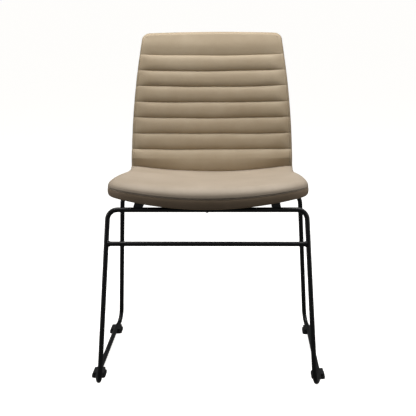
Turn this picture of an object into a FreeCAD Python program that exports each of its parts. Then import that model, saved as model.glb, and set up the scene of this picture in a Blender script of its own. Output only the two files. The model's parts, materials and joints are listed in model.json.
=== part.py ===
import FreeCAD, Part
import math
import os

# Sled base visitor chair. Millimetres, +Z up, the sitter faces -Y, the middle plane is X = 0.
# Heights are measured from the floor. The finished chair is moved along Y only, so that the
# origin lies on the floor under the middle of its footprint.

# Steel rod frame
ROD_D = 12.0
FRONT_BAR_HEIGHT = 419.0
FRONT_BAR_SETBACK = 99.7
FRONT_BAR_HALF = 239.0
REAR_BAR_DROP = 17.5
REAR_BAR_SETBACK = 400.0
REAR_BAR_HALF = 239.0
FRONT_FOOT_HALF = 258.2
REAR_FOOT_HALF = 262.0
BASE_LENGTH = 485.0
RUNNER_FRONT_HALF = 271.5
RUNNER_REAR_HALF = 268.5
FRONT_SWING = 62.0
REAR_SWING = 55.0
TOP_FRONT_BEND = 24.0
TOP_REAR_BEND = 34.0
FRONT_FOOT_BEND = 28.0
REAR_FOOT_BEND = 30.0
SWING_BEND = 110.0
CROSSBAR_D = 11.5
CROSSBAR_DROP = 79.6
BEAD_WIDTH = 6.0
BEAD_RISE = 1.6
BEAD_FLUSH = 1.5
FILLET_LEG = 4.0
FILLET_RISE = 2.6
WELD_START = 3.5
WELD_TOE = 0.3

# Clip-on glides
GLIDE_SOLE = 4.0
GLIDE_LENGTH = 46.0
GLIDE_HALF_WIDTH = 16.5
GLIDE_FLANGE_HEIGHT = 6.0
GLIDE_STEP = 3.0
GLIDE_LUG_ABOVE_ROD_CENTRE = 3.0
GLIDE_CLEARANCE = 0.15
FRONT_GLIDE_SETBACK = 92.0
REAR_GLIDE_SETBACK = 418.0
GLIDE_CORNER = 7.0

# Seat mounting: a welded tab, a spacer, a screw and a tee nut at each of four places
MOUNT_HALF_SPACING = 166.0
TAB_WIDTH = 22.0
TAB_LENGTH = 42.0
TAB_THICKNESS = 4.0
SPACER_TAPER = 5.0
SPACER_INSET = 1.0
SPACER_RELIEF = 1.0
SCREW_D = 6.0
SCREW_HOLE_CLEARANCE = 0.5
SCREW_SETBACK_FROM_BAR = 22.0
SCREW_HEAD_D = 10.5
SCREW_HEAD_HEIGHT = 3.3
SCREW_SOCKET_D = 4.0
WASHER_D = 14.0
WASHER_THICKNESS = 1.2
TEE_NUT_BARREL_D = 8.0
TEE_NUT_BARREL_LENGTH = 6.0
TEE_NUT_FLANGE_D = 18.0
TEE_NUT_FLANGE_THICKNESS = 1.3
TEE_NUT_POCKET_DEPTH = 3.2
POCKET_CLEARANCE = 0.3

# One-piece moulded plywood shell, drawn as a chain of tangent arcs along its lower face
SHELL_FRONT_SETBACK = 66.0
SHELL_ABOVE_BAR = 0.8
SHELL_FRONT_ANGLE = 2.0
SEAT_RUN_FRONT = 130.0
SEAT_TURN_FRONT = -5.0
SEAT_RUN_MIDDLE = 120.0
SEAT_TURN_MIDDLE = -1.5
SEAT_RUN_REAR = 149.0
SEAT_TURN_REAR = 3.5
BEND_RADIUS = 75.0
BEND_TURN = 83.0
BACK_RUN = 350.0
BACK_TURN = -8.5
PLY = 11.0

# How far the shell's edges stand up from its middle, at DISH_HALF from the middle plane
DISH_HALF = 190.0
DISH_FRONT = 13.9
DISH_REAR = 20.0
DISH_BACK_TOP = 15.0
DISH_LEVELLING = 0.2

# Seat upholstery
LEATHER = 1.4
SEAT_PAD_CREST = 48.5
SEAT_PAD_MIDDLE = 41.0
SEAT_PAD_REAR = 30.5
CREASE_PAD = 21.0
SEAT_SEAM_FRONT = 26.0
SEAT_SEAM_REAR = 18.0
SEAM_THINNING = 3.0
FRONT_ROLL = 32.0
SIDE_ROLL = 24.0
ROLL_LIMIT = 1.35
EDGE_THINNING_FRONT = 9.3
EDGE_THINNING_REAR = 1.5
CREASE_ANGLE = 36.6
CREASE_REACH = 4.0

# Back upholstery, with sewn channels
GROOVE_PAD = 30.0
CHANNEL_RISE = 7.0
BOTTOM_PANEL_PAD = 41.5
CHANNEL_GROOVES = 7
TOP_PANEL_RUN = 69.6
LOWEST_GROOVE = 23.0
STEEP_LEATHER = 3.0
TOP_PANEL_CROWN = 5.5
TOP_ROLL_PAD = 20.0
TOP_ROLL = 16.0
REAR_LINING = 4.0
SHELL_GLUE_GAP = 0.2

# Outlines
SEAT_CORNER_HALF = 190.0
SEAT_FRONT_BOW = 26.0
SEAT_CORNER_END_HALF = 246.0
SEAT_CORNER_END_SETBACK = 172.0
SEAT_CORNER_MID_HALF = 231.0
SEAT_CORNER_MID_SETBACK = 121.0
SEAT_SIDE_HALF = 243.0
SEAT_SIDE_SETBACK = 225.0
SEAT_WAIST_HALF = 232.5
SEAT_WAIST_SETBACK = 320.0
SEAT_NECK_HALF = 226.0
SEAT_NECK_SETBACK = 375.0
SEAT_REAR_HALF = 223.0
SEAT_REAR_SETBACK = 440.0
BACK_STRAIGHT_DROP = 348.0
BACK_MIDDLE_HALF = 217.5
BACK_MIDDLE_DROP = 219.0
BACK_SHOULDER_HALF = 195.5
BACK_SHOULDER_DROP = 29.0
BACK_CORNER_RADIUS = 20.0
BACK_TOP_OVER_SHELL = 2.06
BACK_TOP_SAG = 6.0
BORDER = 2.4
UNDERCOVER = 1.2
UNDERCOVER_MARGIN = 14.0
UNDERCOVER_CUTOUT_CLEARANCE = 2.0

# Room past the finished faces for the solids that are trimmed, and how exactly edges are picked
OVERRUN = 12.0
STATION_MARGIN = 6.0
TALL = 1200.0
PICKING = 1e-6

# Sizes that follow from the ones above
ROD_R = ROD_D / 2
ROD_HEIGHT = GLIDE_SOLE + ROD_R
REAR_BAR_HEIGHT = FRONT_BAR_HEIGHT - REAR_BAR_DROP
CROSSBAR_HEIGHT = FRONT_BAR_HEIGHT - CROSSBAR_DROP
SHELL_FRONT_HEIGHT = FRONT_BAR_HEIGHT + ROD_R + SHELL_ABOVE_BAR
CHANNEL_PITCH = (BACK_RUN - LOWEST_GROOVE - TOP_PANEL_RUN) / (CHANNEL_GROOVES - 1)


def vec(x, y, z):
    return FreeCAD.Vector(x, y, z)


def box(x0, y0, z0, x1, y1, z1):
    return Part.makeBox(x1 - x0, y1 - y0, z1 - z0, vec(x0, y0, z0))


def upright(radius, height, x, y, z):
    return Part.makeCylinder(radius, height, vec(x, y, z))


# Tangent arc chain of the shell

def dish_share(x):
    """Rise of the edges at offset x as a share of that at DISH_HALF, levelling off beyond it."""
    over = abs(x) / DISH_HALF
    if over <= 1:
        return over ** 2
    beyond = min(over - 1, DISH_LEVELLING)
    return 1 + 2 * beyond - beyond ** 2 / DISH_LEVELLING


class ShellPath:
    """Chain of tangent arcs in the middle plane: run length and turn, in degrees, of each."""

    def __init__(self):
        bend_run = BEND_RADIUS * math.radians(BEND_TURN)
        self.pieces = [
            (SEAT_RUN_FRONT, SEAT_TURN_FRONT),
            (SEAT_RUN_MIDDLE, SEAT_TURN_MIDDLE),
            (SEAT_RUN_REAR, SEAT_TURN_REAR),
            (bend_run, BEND_TURN),
            (BACK_RUN, BACK_TURN),
        ]
        self.bend_start = SEAT_RUN_FRONT + SEAT_RUN_MIDDLE + SEAT_RUN_REAR
        self.bend_end = self.bend_start + bend_run
        self.end = self.bend_end + BACK_RUN
        bend_angle = SHELL_FRONT_ANGLE + SEAT_TURN_FRONT + SEAT_TURN_MIDDLE + SEAT_TURN_REAR
        self.crease = self.bend_start + BEND_RADIUS * math.radians(CREASE_ANGLE - bend_angle)

    def at(self, s):
        """Setback, height and tangent angle at run length s, which may lie before the start."""
        y, z, angle = SHELL_FRONT_SETBACK, SHELL_FRONT_HEIGHT, math.radians(SHELL_FRONT_ANGLE)
        if s < 0:
            return y + s * math.cos(angle), z + s * math.sin(angle), angle
        for number, (run, turn) in enumerate(self.pieces):
            last = number == len(self.pieces) - 1
            step = s if last else min(s, run)
            swept = math.radians(turn) * step / run
            chord = step if swept == 0 else 2 * step / swept * math.sin(swept / 2)
            y += chord * math.cos(angle + swept / 2)
            z += chord * math.sin(angle + swept / 2)
            angle += swept
            s -= step
            if s <= 0:
                break
        return y, z, angle

    def dish(self, s):
        """Rise of the edges at DISH_HALF from the middle plane."""
        if s <= 0:
            return DISH_FRONT
        if s < self.bend_start:
            return DISH_FRONT + (DISH_REAR - DISH_FRONT) * s / self.bend_start
        if s < self.bend_end:
            return DISH_REAR
        share = min(1.0, (s - self.bend_end) / BACK_RUN)
        return DISH_REAR + (DISH_BACK_TOP - DISH_REAR) * share

    def point(self, s, x, depth):
        """Point at run s, offset x from the middle, depth above the plywood's lower face."""
        y, z, angle = self.at(s)
        rise = depth + self.dish(s) * dish_share(x)
        return vec(x, y - rise * math.sin(angle), z + rise * math.cos(angle))


PATH = ShellPath()
BACK_TOP_HEIGHT = PATH.at(PATH.end)[1] + BACK_TOP_OVER_SHELL


def arc(a, middle, b):
    return Part.Arc(a, middle, b).toShape()


def line(a, b):
    return Part.LineSegment(a, b).toShape()


def layer_edges(x, nodes):
    """Arcs through nodes (s, depth) taken in threes: end, middle, end, middle, end."""
    points = [PATH.point(s, x, depth) for s, depth in nodes]
    return [arc(points[i], points[i + 1], points[i + 2]) for i in range(0, len(points) - 2, 2)]


def layer_section(x, lower, upper):
    """Closed section between a lower and an upper row of nodes at offset x."""
    low = layer_edges(x, lower)
    high = layer_edges(x, upper)
    first_low, last_low = PATH.point(*swap(lower[0], x)), PATH.point(*swap(lower[-1], x))
    first_high, last_high = PATH.point(*swap(upper[0], x)), PATH.point(*swap(upper[-1], x))
    return Part.Wire(low + [line(last_low, last_high)] + high[::-1] + [line(first_high, first_low)])


def swap(node, x):
    s, depth = node
    return s, x, depth


def loft_layer(offsets, lower, upper):
    """Solid between two rows of nodes, each given as a function of the offset x."""
    sections = [layer_section(x, lower(x), upper(x)) for x in offsets]
    return Part.makeLoft(sections, True, False)


# Rows of nodes along the shell

def flat_row(start, stop, depth, breaks):
    """Nodes of constant depth from start to stop, split at the breaks and halved for arcs."""
    stops = [start] + [b for b in breaks if start < b < stop] + [stop]
    row = [(start, depth)]
    for a, b in zip(stops, stops[1:]):
        row += [((a + b) / 2, depth), (b, depth)]
    return row


def front_bow(x):
    """How far the seat's front edge lies behind its middle at offset x."""
    x = abs(x)
    if x <= SEAT_CORNER_HALF:
        return SEAT_FRONT_BOW * (x / SEAT_CORNER_HALF) ** 2
    corner_depth = SEAT_CORNER_END_SETBACK - SHELL_FRONT_SETBACK - SEAT_FRONT_BOW
    share = min(1.0, (x - SEAT_CORNER_HALF) / (SEAT_CORNER_END_HALF - SEAT_CORNER_HALF))
    return SEAT_FRONT_BOW + corner_depth * (1 - math.sqrt(max(0.0, 1 - share ** 2)))


def seat_half_width(s):
    """Half width of the seat at run s, behind its front corners."""
    places = [
        (SEAT_CORNER_END_SETBACK, SEAT_CORNER_END_HALF),
        (SEAT_SIDE_SETBACK, SEAT_SIDE_HALF),
        (SEAT_WAIST_SETBACK, SEAT_WAIST_HALF),
        (SEAT_NECK_SETBACK, SEAT_NECK_HALF),
        (SEAT_REAR_SETBACK, SEAT_REAR_HALF),
    ]
    setback = min(max(SHELL_FRONT_SETBACK + s, places[0][0]), places[-1][0])
    for (near, wide), (far, narrow) in zip(places, places[1:]):
        if setback <= far:
            return wide + (narrow - wide) * (setback - near) / (far - near)
    return SEAT_REAR_HALF


def roll_share(distance, width):
    """Share of a rolled edge's drop at a distance in from the edge, a little more outside it."""
    return min(ROLL_LIMIT, max(0.0, 1 - distance / width) ** 2)


def seat_top(x, s, depth, below):
    """Depth of the seat's top, or of a face below it, thinner and rolled down towards the edges."""
    share = min(1.0, max(0.0, s / PATH.crease))
    thinning = EDGE_THINNING_FRONT + (EDGE_THINNING_REAR - EDGE_THINNING_FRONT) * share
    seam = SEAT_SEAM_FRONT + (SEAT_SEAM_REAR - SEAT_SEAM_FRONT) * share - SEAM_THINNING * dish_share(x)
    fall = depth - thinning * dish_share(x) - seam
    at_front = roll_share(s - front_bow(x), FRONT_ROLL)
    at_side = roll_share(seat_half_width(s) - abs(x), SIDE_ROLL)
    roll = max(at_front, at_side)
    slope = 2 * fall / SIDE_ROLL * math.sqrt(roll)
    return seam + fall * (1 - roll) - below * math.sqrt(1 + slope ** 2)


def stations(widest, shares):
    """Offsets of the sections of a loft on both sides of the middle plane."""
    right = [widest * share for share in shares]
    return [-x for x in reversed(right)] + [0.0] + right


SEAT_BREAKS = [SEAT_RUN_FRONT, SEAT_RUN_FRONT + SEAT_RUN_MIDDLE, PATH.bend_start]
SHELL_BREAKS = SEAT_BREAKS + [PATH.crease, PATH.bend_end]
STATIONS = stations(SEAT_CORNER_END_HALF + STATION_MARGIN, [0.3, 0.55, 0.754, 0.82, 0.87, 0.915, 0.96, 1])


def seat_top_row(x, below):
    """Nodes of the seat's top face, or of a face that lies below it."""
    front = front_bow(x)
    crest = front + FRONT_ROLL
    middle = (crest + PATH.bend_start) / 2
    row = [
        (front - FRONT_ROLL / 8, SEAT_PAD_CREST),
        (front + FRONT_ROLL * 3 / 8, SEAT_PAD_CREST),
        (crest, SEAT_PAD_CREST),
        ((crest + middle) / 2, (SEAT_PAD_CREST + SEAT_PAD_MIDDLE) / 2),
        (middle, SEAT_PAD_MIDDLE),
        ((middle + PATH.bend_start) / 2, (SEAT_PAD_MIDDLE + SEAT_PAD_REAR) / 2),
        (PATH.bend_start, SEAT_PAD_REAR),
        ((PATH.bend_start + PATH.crease) / 2, (SEAT_PAD_REAR + CREASE_PAD) / 2),
        (PATH.crease, CREASE_PAD),
    ]
    return [(s, seat_top(x, s, depth, below)) for s, depth in row]


def back_front_row(x, below):
    """Nodes of the back's channelled front face, or of a face that lies behind it."""
    flattening = 1 - (abs(x) / (SEAT_REAR_HALF + STATION_MARGIN)) ** 3
    rise = CHANNEL_RISE * (0.2 + 0.8 * flattening)
    crown = TOP_PANEL_CROWN * (0.4 + 0.6 * flattening)
    groove = PATH.bend_end + LOWEST_GROOVE
    row = [
        (PATH.crease, CREASE_PAD - EDGE_THINNING_REAR * dish_share(x)),
        ((PATH.crease + groove) / 2, BOTTOM_PANEL_PAD - CHANNEL_RISE * (1 - flattening) / 2),
        (groove, GROOVE_PAD),
    ]
    for _ in range(CHANNEL_GROOVES - 1):
        row += [(groove + CHANNEL_PITCH / 2, GROOVE_PAD + rise), (groove + CHANNEL_PITCH, GROOVE_PAD)]
        groove += CHANNEL_PITCH
    roll = PATH.end - TOP_ROLL
    row += [
        ((groove + roll) / 2, GROOVE_PAD + crown),
        (roll, GROOVE_PAD + crown / 2),
        (PATH.end - TOP_ROLL / 4, (GROOVE_PAD + TOP_ROLL_PAD) / 2 + crown / 2),
        (PATH.end + OVERRUN / 2, TOP_ROLL_PAD),
    ]
    steep = [STEEP_LEATHER, (1 + STEEP_LEATHER) / 2]
    shares = steep + [1.0] * (len(row) - len(steep))
    return [(s, depth - below * share) for (s, depth), share in zip(row, shares)]


# Outlines that trim the upholstery and the shell

def mirrored_outline(half, place):
    """Closed wire from chains of arcs and lines on the +X side, mirrored to the -X side."""
    edges = []
    for side in (1, -1):
        for points in half:
            ends = [place(side * u, v) for u, v in points]
            edges.append(arc(*ends) if len(ends) == 3 else line(*ends))
    return edges


def seat_outline():
    """Plan of the seat, whose straight rear sides run on past the back."""
    half = [
        [(SEAT_CORNER_HALF, SHELL_FRONT_SETBACK + SEAT_FRONT_BOW),
         (SEAT_CORNER_MID_HALF, SEAT_CORNER_MID_SETBACK),
         (SEAT_CORNER_END_HALF, SEAT_CORNER_END_SETBACK)],
        [(SEAT_CORNER_END_HALF, SEAT_CORNER_END_SETBACK),
         (SEAT_SIDE_HALF, SEAT_SIDE_SETBACK),
         (SEAT_WAIST_HALF, SEAT_WAIST_SETBACK)],
        [(SEAT_WAIST_HALF, SEAT_WAIST_SETBACK),
         (SEAT_NECK_HALF, SEAT_NECK_SETBACK),
         (SEAT_REAR_HALF, SEAT_REAR_SETBACK)],
        [(SEAT_REAR_HALF, SEAT_REAR_SETBACK), (SEAT_REAR_HALF, TALL)],
    ]
    edges = mirrored_outline(half, lambda u, v: vec(u, v, 0))
    bow = SHELL_FRONT_SETBACK + SEAT_FRONT_BOW
    left, right = vec(-SEAT_CORNER_HALF, bow, 0), vec(SEAT_CORNER_HALF, bow, 0)
    edges.append(arc(left, vec(0, SHELL_FRONT_SETBACK, 0), right))
    edges.append(line(vec(-SEAT_REAR_HALF, TALL, 0), vec(SEAT_REAR_HALF, TALL, 0)))
    return Part.Wire(Part.__sortEdges__(edges))


def back_outline():
    """Front view of the back, from below the seat to the rounded top."""
    corner = BACK_SHOULDER_HALF - BACK_CORNER_RADIUS
    corner_height = BACK_TOP_HEIGHT - BACK_TOP_SAG
    shoulder_height = BACK_TOP_HEIGHT - BACK_SHOULDER_DROP
    middle_height = BACK_TOP_HEIGHT - BACK_MIDDLE_DROP
    straight_height = BACK_TOP_HEIGHT - BACK_STRAIGHT_DROP
    inward = BACK_CORNER_RADIUS * (1 - math.sqrt(0.5))
    drop = (corner_height - shoulder_height) * (1 - math.sqrt(0.5))
    half = [
        [(SEAT_REAR_HALF, 0), (SEAT_REAR_HALF, straight_height)],
        [(SEAT_REAR_HALF, straight_height), (BACK_MIDDLE_HALF, middle_height),
         (BACK_SHOULDER_HALF, shoulder_height)],
        [(BACK_SHOULDER_HALF, shoulder_height),
         (BACK_SHOULDER_HALF - inward, corner_height - drop), (corner, corner_height)],
    ]
    edges = mirrored_outline(half, lambda u, v: vec(u, SEAT_REAR_SETBACK, v))
    left, right = [vec(side * corner, SEAT_REAR_SETBACK, corner_height) for side in (-1, 1)]
    edges.append(arc(left, vec(0, SEAT_REAR_SETBACK, BACK_TOP_HEIGHT), right))
    edges.append(line(vec(-SEAT_REAR_HALF, SEAT_REAR_SETBACK, 0), vec(SEAT_REAR_HALF, SEAT_REAR_SETBACK, 0)))
    return Part.Wire(Part.__sortEdges__(edges))


def inset_face(wire, inset):
    face = Part.Face(wire)
    return face.makeOffset2D(-inset) if inset else face


def keep_region(inset):
    """Space inside both outlines, drawn in by the inset. Only the back is held to the back outline."""
    plan = inset_face(seat_outline(), inset).extrude(vec(0, 0, TALL))
    behind = box(-TALL, SEAT_REAR_SETBACK, 0, TALL, 2 * TALL, TALL)
    front_view = inset_face(back_outline(), inset).extrude(vec(0, 2 * TALL, 0))
    return plan.cut(behind.cut(front_view))


def flat_layer(depth, start, stop):
    """Row of even depth, the same at every offset."""
    row = flat_row(start, stop, depth, SHELL_BREAKS)
    return lambda x: row


# Shell and upholstery

def plywood_shell(inner):
    top = PATH.end + OVERRUN
    blank = loft_layer(STATIONS, flat_layer(0, -OVERRUN, top), flat_layer(PLY, -OVERRUN, top))
    shell = blank.common(inner)
    for x, y in mount_places():
        low = shell_height(x, y)
        shell = shell.cut(upright(TEE_NUT_BARREL_D / 2 + POCKET_CLEARANCE, 4 * PLY, x, y, low - PLY))
        pocket = low + PLY - TEE_NUT_POCKET_DEPTH
        shell = shell.cut(upright(TEE_NUT_FLANGE_D / 2 + POCKET_CLEARANCE, 2 * PLY, x, y, pocket))
    return shell


def past_crease(row):
    """The row carried on past the crease, so that what it bounds runs clear through a crease face."""
    near, far = CREASE_REACH, 2 * CREASE_REACH
    if row[0][0] == PATH.crease:
        depth = row[0][1]
        return [(PATH.crease - far, depth - near), (PATH.crease - near, depth - near / 2)] + row
    depth = row[-1][1]
    return row + [(PATH.crease + near, depth - near / 2), (PATH.crease + far, depth - near)]


def pad(offsets, start, stop, base, top_row, outer, inner):
    """Leather panel, border band and foam of one pad, which share their meeting faces."""
    full = loft_layer(offsets, flat_layer(PLY, start, stop), lambda x: top_row(x, 0))
    core = loft_layer(offsets, flat_layer(base, start, stop), lambda x: top_row(x, LEATHER))
    far = 2 * CREASE_REACH
    ends = [start - far, stop] if start == PATH.crease else [start, stop + far]
    leather_rear = lambda x: past_crease(top_row(x, LEATHER))
    under_panel = loft_layer(offsets, flat_layer(base - PLY, *ends), leather_rear)
    panel = full.common(outer).cut(under_panel)
    border = core.common(outer).cut(inner)
    foam = full.common(under_panel).common(inner)
    return panel, border, foam


def rear_layer(low, high, region):
    """Even layer on the rear of the back, between two depths."""
    top = PATH.end + OVERRUN
    blank = loft_layer(STATIONS, flat_layer(low, PATH.crease, top), flat_layer(high, PATH.crease, top))
    return blank.common(region)


def underseat_cover():
    stop = PATH.crease
    blank = loft_layer(STATIONS, flat_layer(-SHELL_GLUE_GAP - UNDERCOVER, -OVERRUN, stop),
                       flat_layer(-SHELL_GLUE_GAP, -OVERRUN, stop))
    cover = blank.common(keep_region(UNDERCOVER_MARGIN))
    reach = UNDERCOVER_CUTOUT_CLEARANCE
    for (x, y), direction in zip(mount_places(), mount_directions()):
        near, far = sorted((tab_near(direction), tab_near(direction) + direction * TAB_LENGTH))
        half = TAB_WIDTH / 2 + reach
        cover = cover.cut(box(x - half, near - reach, 0, x + half, far + reach, TALL))
    return cover


# Mounting points of the seat

def mount_directions():
    """Way the tabs reach from their bar: rearward at the front, forward at the rear."""
    return [1, 1, -1, -1]


def bar_setback(direction):
    return FRONT_BAR_SETBACK if direction > 0 else REAR_BAR_SETBACK


def bar_height(direction):
    return FRONT_BAR_HEIGHT if direction > 0 else REAR_BAR_HEIGHT


def tab_near(direction):
    """Setback of the tab's end that lies over its bar."""
    return bar_setback(direction) - direction * ROD_R


def mount_places():
    """X and Y of each seat screw: front left, front right, rear left, rear right."""
    places = []
    for number, direction in enumerate(mount_directions()):
        side = -1 if number % 2 == 0 else 1
        setback = bar_setback(direction) + direction * SCREW_SETBACK_FROM_BAR
        places.append((side * MOUNT_HALF_SPACING, setback))
    return places


def shell_height(x, y):
    """Height of the shell's lower face at a place under the seat."""
    low, high = 0.0, PATH.bend_start
    for _ in range(40):
        middle = (low + high) / 2
        if PATH.point(middle, x, 0).y < y:
            low = middle
        else:
            high = middle
    return PATH.point(low, x, 0).z


# Frame

def rounded_path(points, radii):
    """Wire of straight runs joined by tangent arcs, one radius for each inner point."""
    edges = []
    start = points[0]
    for before, corner, after, radius in zip(points, points[1:], points[2:], radii):
        back = (before - corner).normalize()
        ahead = (after - corner).normalize()
        turn = math.pi - back.getAngle(ahead)
        tangent = radius * math.tan(turn / 2)
        middle = (back + ahead).normalize() * (radius / math.cos(turn / 2) - radius)
        first, last = corner + back * tangent, corner + ahead * tangent
        edges += [line(start, first), arc(first, corner + middle, last)]
        start = last
    edges.append(line(start, points[-1]))
    return Part.Wire(edges)


def foot_corner(side):
    return vec(side * FRONT_FOOT_HALF, 0, ROD_HEIGHT)


def front_bar_corner(side):
    return vec(side * FRONT_BAR_HALF, FRONT_BAR_SETBACK, FRONT_BAR_HEIGHT)


def side_points(side):
    return [
        vec(0, FRONT_BAR_SETBACK, FRONT_BAR_HEIGHT),
        front_bar_corner(side),
        foot_corner(side),
        vec(side * RUNNER_FRONT_HALF, FRONT_SWING, ROD_HEIGHT),
        vec(side * RUNNER_REAR_HALF, BASE_LENGTH - REAR_SWING, ROD_HEIGHT),
        vec(side * REAR_FOOT_HALF, BASE_LENGTH, ROD_HEIGHT),
        vec(side * REAR_BAR_HALF, REAR_BAR_SETBACK, REAR_BAR_HEIGHT),
        vec(0, REAR_BAR_SETBACK, REAR_BAR_HEIGHT),
    ]


def side_rod(side, radius):
    """One bent rod: half front bar, leg, runner, rear leg and half rear bar."""
    radii = [TOP_FRONT_BEND, FRONT_FOOT_BEND, SWING_BEND, SWING_BEND, REAR_FOOT_BEND, TOP_REAR_BEND]
    points = side_points(side)
    path = rounded_path(points, radii)
    profile = Part.Wire([Part.Circle(points[0], vec(1, 0, 0), radius).toShape()])
    return path.makePipeShell([profile], True, False)


def bar_weld(setback, height):
    """Bead round the butt joint in the middle of a bar, ground flush where the seat passes."""
    half = BEAD_WIDTH / 2
    a, b = vec(-half, setback, height + ROD_R), vec(half, setback, height + ROD_R)
    crown = vec(0, setback, height + ROD_R + BEAD_RISE)
    face = Part.Face(Part.Wire([arc(a, crown, b), line(b, a)]))
    ring = face.revolve(vec(0, setback, height), vec(1, 0, 0), 360)
    flush = height + ROD_R - BEAD_FLUSH
    return ring.cut(box(-BEAD_WIDTH, setback - ROD_D, flush, BEAD_WIDTH, setback + ROD_D, height + ROD_D))


def leg_point(side, height):
    low, high = foot_corner(side), front_bar_corner(side)
    return low + (high - low) * ((height - low.z) / (high.z - low.z))


def leg_rod(side):
    low, high = foot_corner(side), front_bar_corner(side)
    return Part.makeCylinder(ROD_R, (high - low).Length, low, high - low)


def crossbar():
    left, right = leg_point(-1, CROSSBAR_HEIGHT), leg_point(1, CROSSBAR_HEIGHT)
    bar = Part.makeCylinder(CROSSBAR_D / 2, (right - left).Length, left, right - left)
    return bar.cut(leg_rod(-1)).cut(leg_rod(1))


def crossbar_weld(side):
    """Ring of weld metal round the crossbar where it meets a leg."""
    end = leg_point(side, CROSSBAR_HEIGHT) - vec(side * WELD_START, 0, 0)
    length = ROD_R + FILLET_LEG - WELD_START
    foot, tip = CROSSBAR_D / 2 + FILLET_RISE, CROSSBAR_D / 2 + WELD_TOE
    ring = Part.makeCone(foot, tip, length, end, vec(-side, 0, 0))
    bar = Part.makeCylinder(CROSSBAR_D / 2, 2 * length, end, vec(-side, 0, 0))
    return ring.cut(bar).cut(leg_rod(side))


def screw_hole(height, x, y, z):
    """Clearance hole for a seat screw, to be cut away."""
    return upright((SCREW_D + SCREW_HOLE_CLEARANCE) / 2, height, x, y, z)


def mount_tab(number):
    """Flat steel tab welded on top of a bar, hollowed where it sits on the rod."""
    direction = mount_directions()[number]
    x, y = mount_places()[number]
    near, far = sorted((tab_near(direction), tab_near(direction) + direction * TAB_LENGTH))
    base = bar_height(direction) + ROD_R - TAB_THICKNESS / 3
    tab = box(x - TAB_WIDTH / 2, near, base, x + TAB_WIDTH / 2, far, base + TAB_THICKNESS)
    axis_start = vec(x - TAB_WIDTH, bar_setback(direction), bar_height(direction))
    tab = tab.cut(Part.makeCylinder(ROD_R, 2 * TAB_WIDTH, axis_start, vec(1, 0, 0)))
    return tab.cut(screw_hole(TAB_THICKNESS * 3, x, y, base - TAB_THICKNESS))


def tab_top(direction):
    return bar_height(direction) + ROD_R - TAB_THICKNESS / 3 + TAB_THICKNESS


def rectangle(x0, y0, x1, y1, z):
    corners = [vec(x0, y0, z), vec(x1, y0, z), vec(x1, y1, z), vec(x0, y1, z)]
    return Part.makePolygon(corners + corners[:1])


def mount_spacer(number, shell):
    """Moulded block between a tab and the shell, whose top follows the shell's lower face."""
    direction = mount_directions()[number]
    x, y = mount_places()[number]
    near, far = sorted((tab_near(direction), tab_near(direction) + direction * TAB_LENGTH))
    base = tab_top(direction)
    top = shell_height(x, y) + PLY / 2
    side = -1 if x < 0 else 1
    inside, outside = x - side * TAB_WIDTH / 2, x + side * TAB_WIDTH / 2
    foot = rectangle(inside, near, outside, far, base)
    inset = SPACER_INSET
    head = rectangle(inside + side * inset, near + inset, outside - side * SPACER_TAPER, far - inset, top)
    block = Part.makeLoft([foot, head], True, True)
    block = block.cut(screw_hole(TALL, x, y, 0))
    relief = upright(TEE_NUT_BARREL_D / 2 + POCKET_CLEARANCE, TALL, x, y, shell_height(x, y) - SPACER_RELIEF)
    return block.cut(shell).cut(relief)


def seat_screw(number):
    direction = mount_directions()[number]
    x, y = mount_places()[number]
    under = tab_top(direction) - TAB_THICKNESS - WASHER_THICKNESS
    tip = shell_height(x, y) + PLY - TEE_NUT_POCKET_DEPTH
    shank = upright(SCREW_D / 2, tip - under, x, y, under)
    head = upright(SCREW_HEAD_D / 2, SCREW_HEAD_HEIGHT, x, y, under - SCREW_HEAD_HEIGHT)
    rim = [edge for edge in head.Edges if is_low_rim(edge, under - SCREW_HEAD_HEIGHT)]
    head = head.makeFillet(SCREW_HEAD_HEIGHT / 2, rim)
    socket = upright(SCREW_SOCKET_D / 2, SCREW_HEAD_HEIGHT / 2, x, y, under - SCREW_HEAD_HEIGHT)
    return shank.fuse(head).cut(socket)


def is_low_rim(edge, height):
    return abs(edge.BoundBox.ZMax - height) < PICKING and edge.BoundBox.XLength > PICKING


def screw_washer(number):
    direction = mount_directions()[number]
    x, y = mount_places()[number]
    under = tab_top(direction) - TAB_THICKNESS - WASHER_THICKNESS
    hole = screw_hole(WASHER_THICKNESS * 2, x, y, under - WASHER_THICKNESS / 2)
    return upright(WASHER_D / 2, WASHER_THICKNESS, x, y, under).cut(hole)


def tee_nut(number):
    x, y = mount_places()[number]
    pocket = shell_height(x, y) + PLY - TEE_NUT_POCKET_DEPTH
    flange = upright(TEE_NUT_FLANGE_D / 2, TEE_NUT_FLANGE_THICKNESS, x, y, pocket)
    barrel = upright(TEE_NUT_BARREL_D / 2, TEE_NUT_BARREL_LENGTH, x, y, pocket - TEE_NUT_BARREL_LENGTH)
    thread = upright(SCREW_D / 2 + POCKET_CLEARANCE / 3, TALL, x, y, pocket - TALL / 2)
    return flange.fuse(barrel).cut(thread)


# Glides

def rounded_pad(half_width, length, height, corner, x, y):
    block = box(x - half_width, y - length / 2, 0, x + half_width, y + length / 2, height)
    rims = [edge for edge in block.Edges if abs(edge.BoundBox.ZLength - height) < PICKING]
    return block.makeFillet(corner, rims)


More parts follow.
